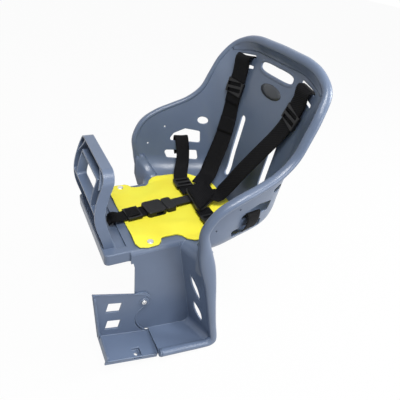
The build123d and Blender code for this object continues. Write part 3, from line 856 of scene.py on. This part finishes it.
def pad_lift(x, y):
    """How far the loose foam stands off the pan, away from its rivets and the buckle."""
    x, y = x / MM, y / MM
    clear = ease((abs(x - buckle_x) - buckle_clear) / 24)
    clear *= ease((math.hypot(abs(x) - rivet_x, y) - rivet_clear) / 18)
    wave = 0.5 + 0.5 * math.sin(abs(x) / 13 - y / 19 + 1.2)
    curl = ease((-y - 6) / 18) + ease((abs(x) - 92) / 18) * ease((y - 60) / 20)
    return clear * (wave_height * wave + curl_height * curl) * MM


def pad_mesh():
    """The sheet laid on the pan in small steps, before it gets its thickness."""
    outline = [Vector((x, y)) * MM for x, y in pad_half]
    outline += [Vector((-p.x, p.y)) for p in reversed(outline[1:-1])]
    shape = bmesh.new()
    verts = [shape.verts.new((p.x, p.y, 0)) for p in outline]
    edges = [shape.edges.new((verts[i], verts[(i + 1) % len(verts)])) for i in range(len(verts))]
    bmesh.ops.triangle_fill(shape, edges=edges, use_beauty=True)
    step = 6 * MM
    for axis, low, high in (((1, 0, 0), -0.12, 0.12), ((0, 1, 0), -0.03, 0.2)):
        place = low
        while place < high:
            everything = shape.verts[:] + shape.edges[:] + shape.faces[:]
            bmesh.ops.bisect_plane(
                shape, geom=everything, plane_co=Vector(axis) * place, plane_no=axis, dist=1e-6
            )
            place += step
    bmesh.ops.dissolve_degenerate(shape, edges=shape.edges[:], dist=2e-4)
    for vert in shape.verts:
        x, y = vert.co.x, vert.co.y
        vert.co.z = max(pan_height(x, y) + pad_seat, pad_least)
    for _ in range(3):
        bmesh.ops.smooth_vert(
            shape, verts=shape.verts[:], factor=0.5, use_axis_x=False, use_axis_y=False, use_axis_z=True
        )
    for vert in shape.verts:
        vert.co.z = max(vert.co.z, pan_height(vert.co.x, vert.co.y) + pad_seat)
        vert.co.z += pad_lift(vert.co.x, vert.co.y)
    bmesh.ops.recalc_face_normals(shape, faces=shape.faces)
    if sum(face.normal.z for face in shape.faces) < 0:
        bmesh.ops.reverse_faces(shape, faces=shape.faces[:])
    mesh = bpy.data.meshes.new("seat_pad_foam")
    shape.to_mesh(mesh)
    shape.free()
    return mesh


seat_pad = add_piece("seat_pad_foam", pad_mesh(), yellow_foam)
thick = seat_pad.modifiers.new("thickness", "SOLIDIFY")
thick.thickness = pad_thickness
thick.offset = 1
round_edge = seat_pad.modifiers.new("edge", "BEVEL")
round_edge.width = 0.8 * MM
round_edge.segments = 2
round_edge.limit_method = "ANGLE"
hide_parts("seat_pad")

# Studio
low, high = cad_box
floor_gap, floor_half, floor_glow = 0.5 * MM, 6.0, 0.96
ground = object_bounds()[0].z - floor_gap
floor_mesh = bpy.data.meshes.new("floor")
floor_shape = bmesh.new()
bmesh.ops.create_grid(floor_shape, x_segments=8, y_segments=8, size=floor_half)
floor_shape.to_mesh(floor_mesh)
floor_shape.free()
floor = bpy.data.objects.new("floor", floor_mesh)
bpy.context.scene.collection.objects.link(floor)
floor.location.z = ground


def white_to_eye(tree):
    """A share that is 1 for what the eye sees, straight or mirrored."""
    path = add_node(tree, "ShaderNodeLightPath")
    first = add_node(tree, "ShaderNodeMath", operation="MAXIMUM")
    second = add_node(tree, "ShaderNodeMath", operation="MAXIMUM")
    tree.links.new(path.outputs["Is Camera Ray"], first.inputs[0])
    tree.links.new(path.outputs["Is Glossy Ray"], first.inputs[1])
    tree.links.new(first.outputs[0], second.inputs[0])
    tree.links.new(path.outputs["Is Transmission Ray"], second.inputs[1])
    return second.outputs[0]


floor_finish, floor_tree, floor_shader = new_material("white_floor")
floor_shader.inputs["Base Color"].default_value = (0.6, 0.6, 0.6, 1)
floor_shader.inputs["Roughness"].default_value = 0.9
glow = add_node(floor_tree, "ShaderNodeEmission", {"Color": (1, 1, 1, 1), "Strength": 1.0})
keep = add_node(floor_tree, "ShaderNodeMath", {1: floor_glow}, operation="MULTIPLY")
floor_tree.links.new(white_to_eye(floor_tree), keep.inputs[0])
floor_mix = add_node(floor_tree, "ShaderNodeMixShader")
floor_tree.links.new(keep.outputs[0], floor_mix.inputs["Fac"])
floor_tree.links.new(floor_shader.outputs[0], floor_mix.inputs[1])
floor_tree.links.new(glow.outputs[0], floor_mix.inputs[2])
floor_tree.links.new(floor_mix.outputs[0], floor_tree.nodes["Material Output"].inputs["Surface"])
floor_mesh.materials.append(floor_finish)

world = bpy.data.worlds.new("studio")
bpy.context.scene.world = world
world.use_nodes = True
sky = world.node_tree
sky_light = sky.nodes["Background"]
sky_light.inputs["Color"].default_value = (0.93, 0.96, 1.0, 1)
sky_light.inputs["Strength"].default_value = 0.11
sky_white = add_node(sky, "ShaderNodeBackground", {"Color": (1, 1, 1, 1), "Strength": 1.0})
sky_mix = add_node(sky, "ShaderNodeMixShader")
sky.links.new(white_to_eye(sky), sky_mix.inputs["Fac"])
sky.links.new(sky_light.outputs[0], sky_mix.inputs[1])
sky.links.new(sky_white.outputs[0], sky_mix.inputs[2])
sky.links.new(sky_mix.outputs[0], sky.nodes["World Output"].inputs["Surface"])

middle = (low + high) / 2


def add_lamp(name, place, size, power, colour=(1, 1, 1)):
    lamp = bpy.data.lights.new(name, "AREA")
    lamp.shape = "DISK"
    lamp.size = size
    lamp.energy = power
    lamp.color = colour
    holder = bpy.data.objects.new(name, lamp)
    holder.location = place
    holder.rotation_euler = (middle - Vector(place)).to_track_quat("-Z", "Y").to_euler()
    bpy.context.scene.collection.objects.link(holder)


add_lamp("top_lamp", (0.8, -0.15, 1.85), 1.0, 40)
add_lamp("side_lamp", (1.6, 0.9, 0.45), 0.8, 12)
add_lamp("edge_lamp", (0.6, 1.6, 0.95), 0.8, 24)
add_lamp("front_lamp", (0.2, -1.9, 0.5), 1.0, 2.5)

# Camera at the photograph's place and angle
camera = bpy.data.cameras.new("camera")
camera.sensor_width = 36
camera.lens = 36
eye = bpy.data.objects.new("camera", camera)
right, down, look = (0.4329, 0.8952, 0.106), (0.5399, -0.1633, -0.8257), (-0.722, 0.415, -0.554)
turn = Matrix((right, -Vector(down), -Vector(look))).transposed().to_4x4()
eye_place = Vector((588, -198.5, 456)) * MM
eye.matrix_world = Matrix.Translation(eye_place) @ turn
bpy.context.scene.collection.objects.link(eye)
bpy.context.scene.camera = eye
bpy.context.scene.view_settings.view_transform = "Standard"
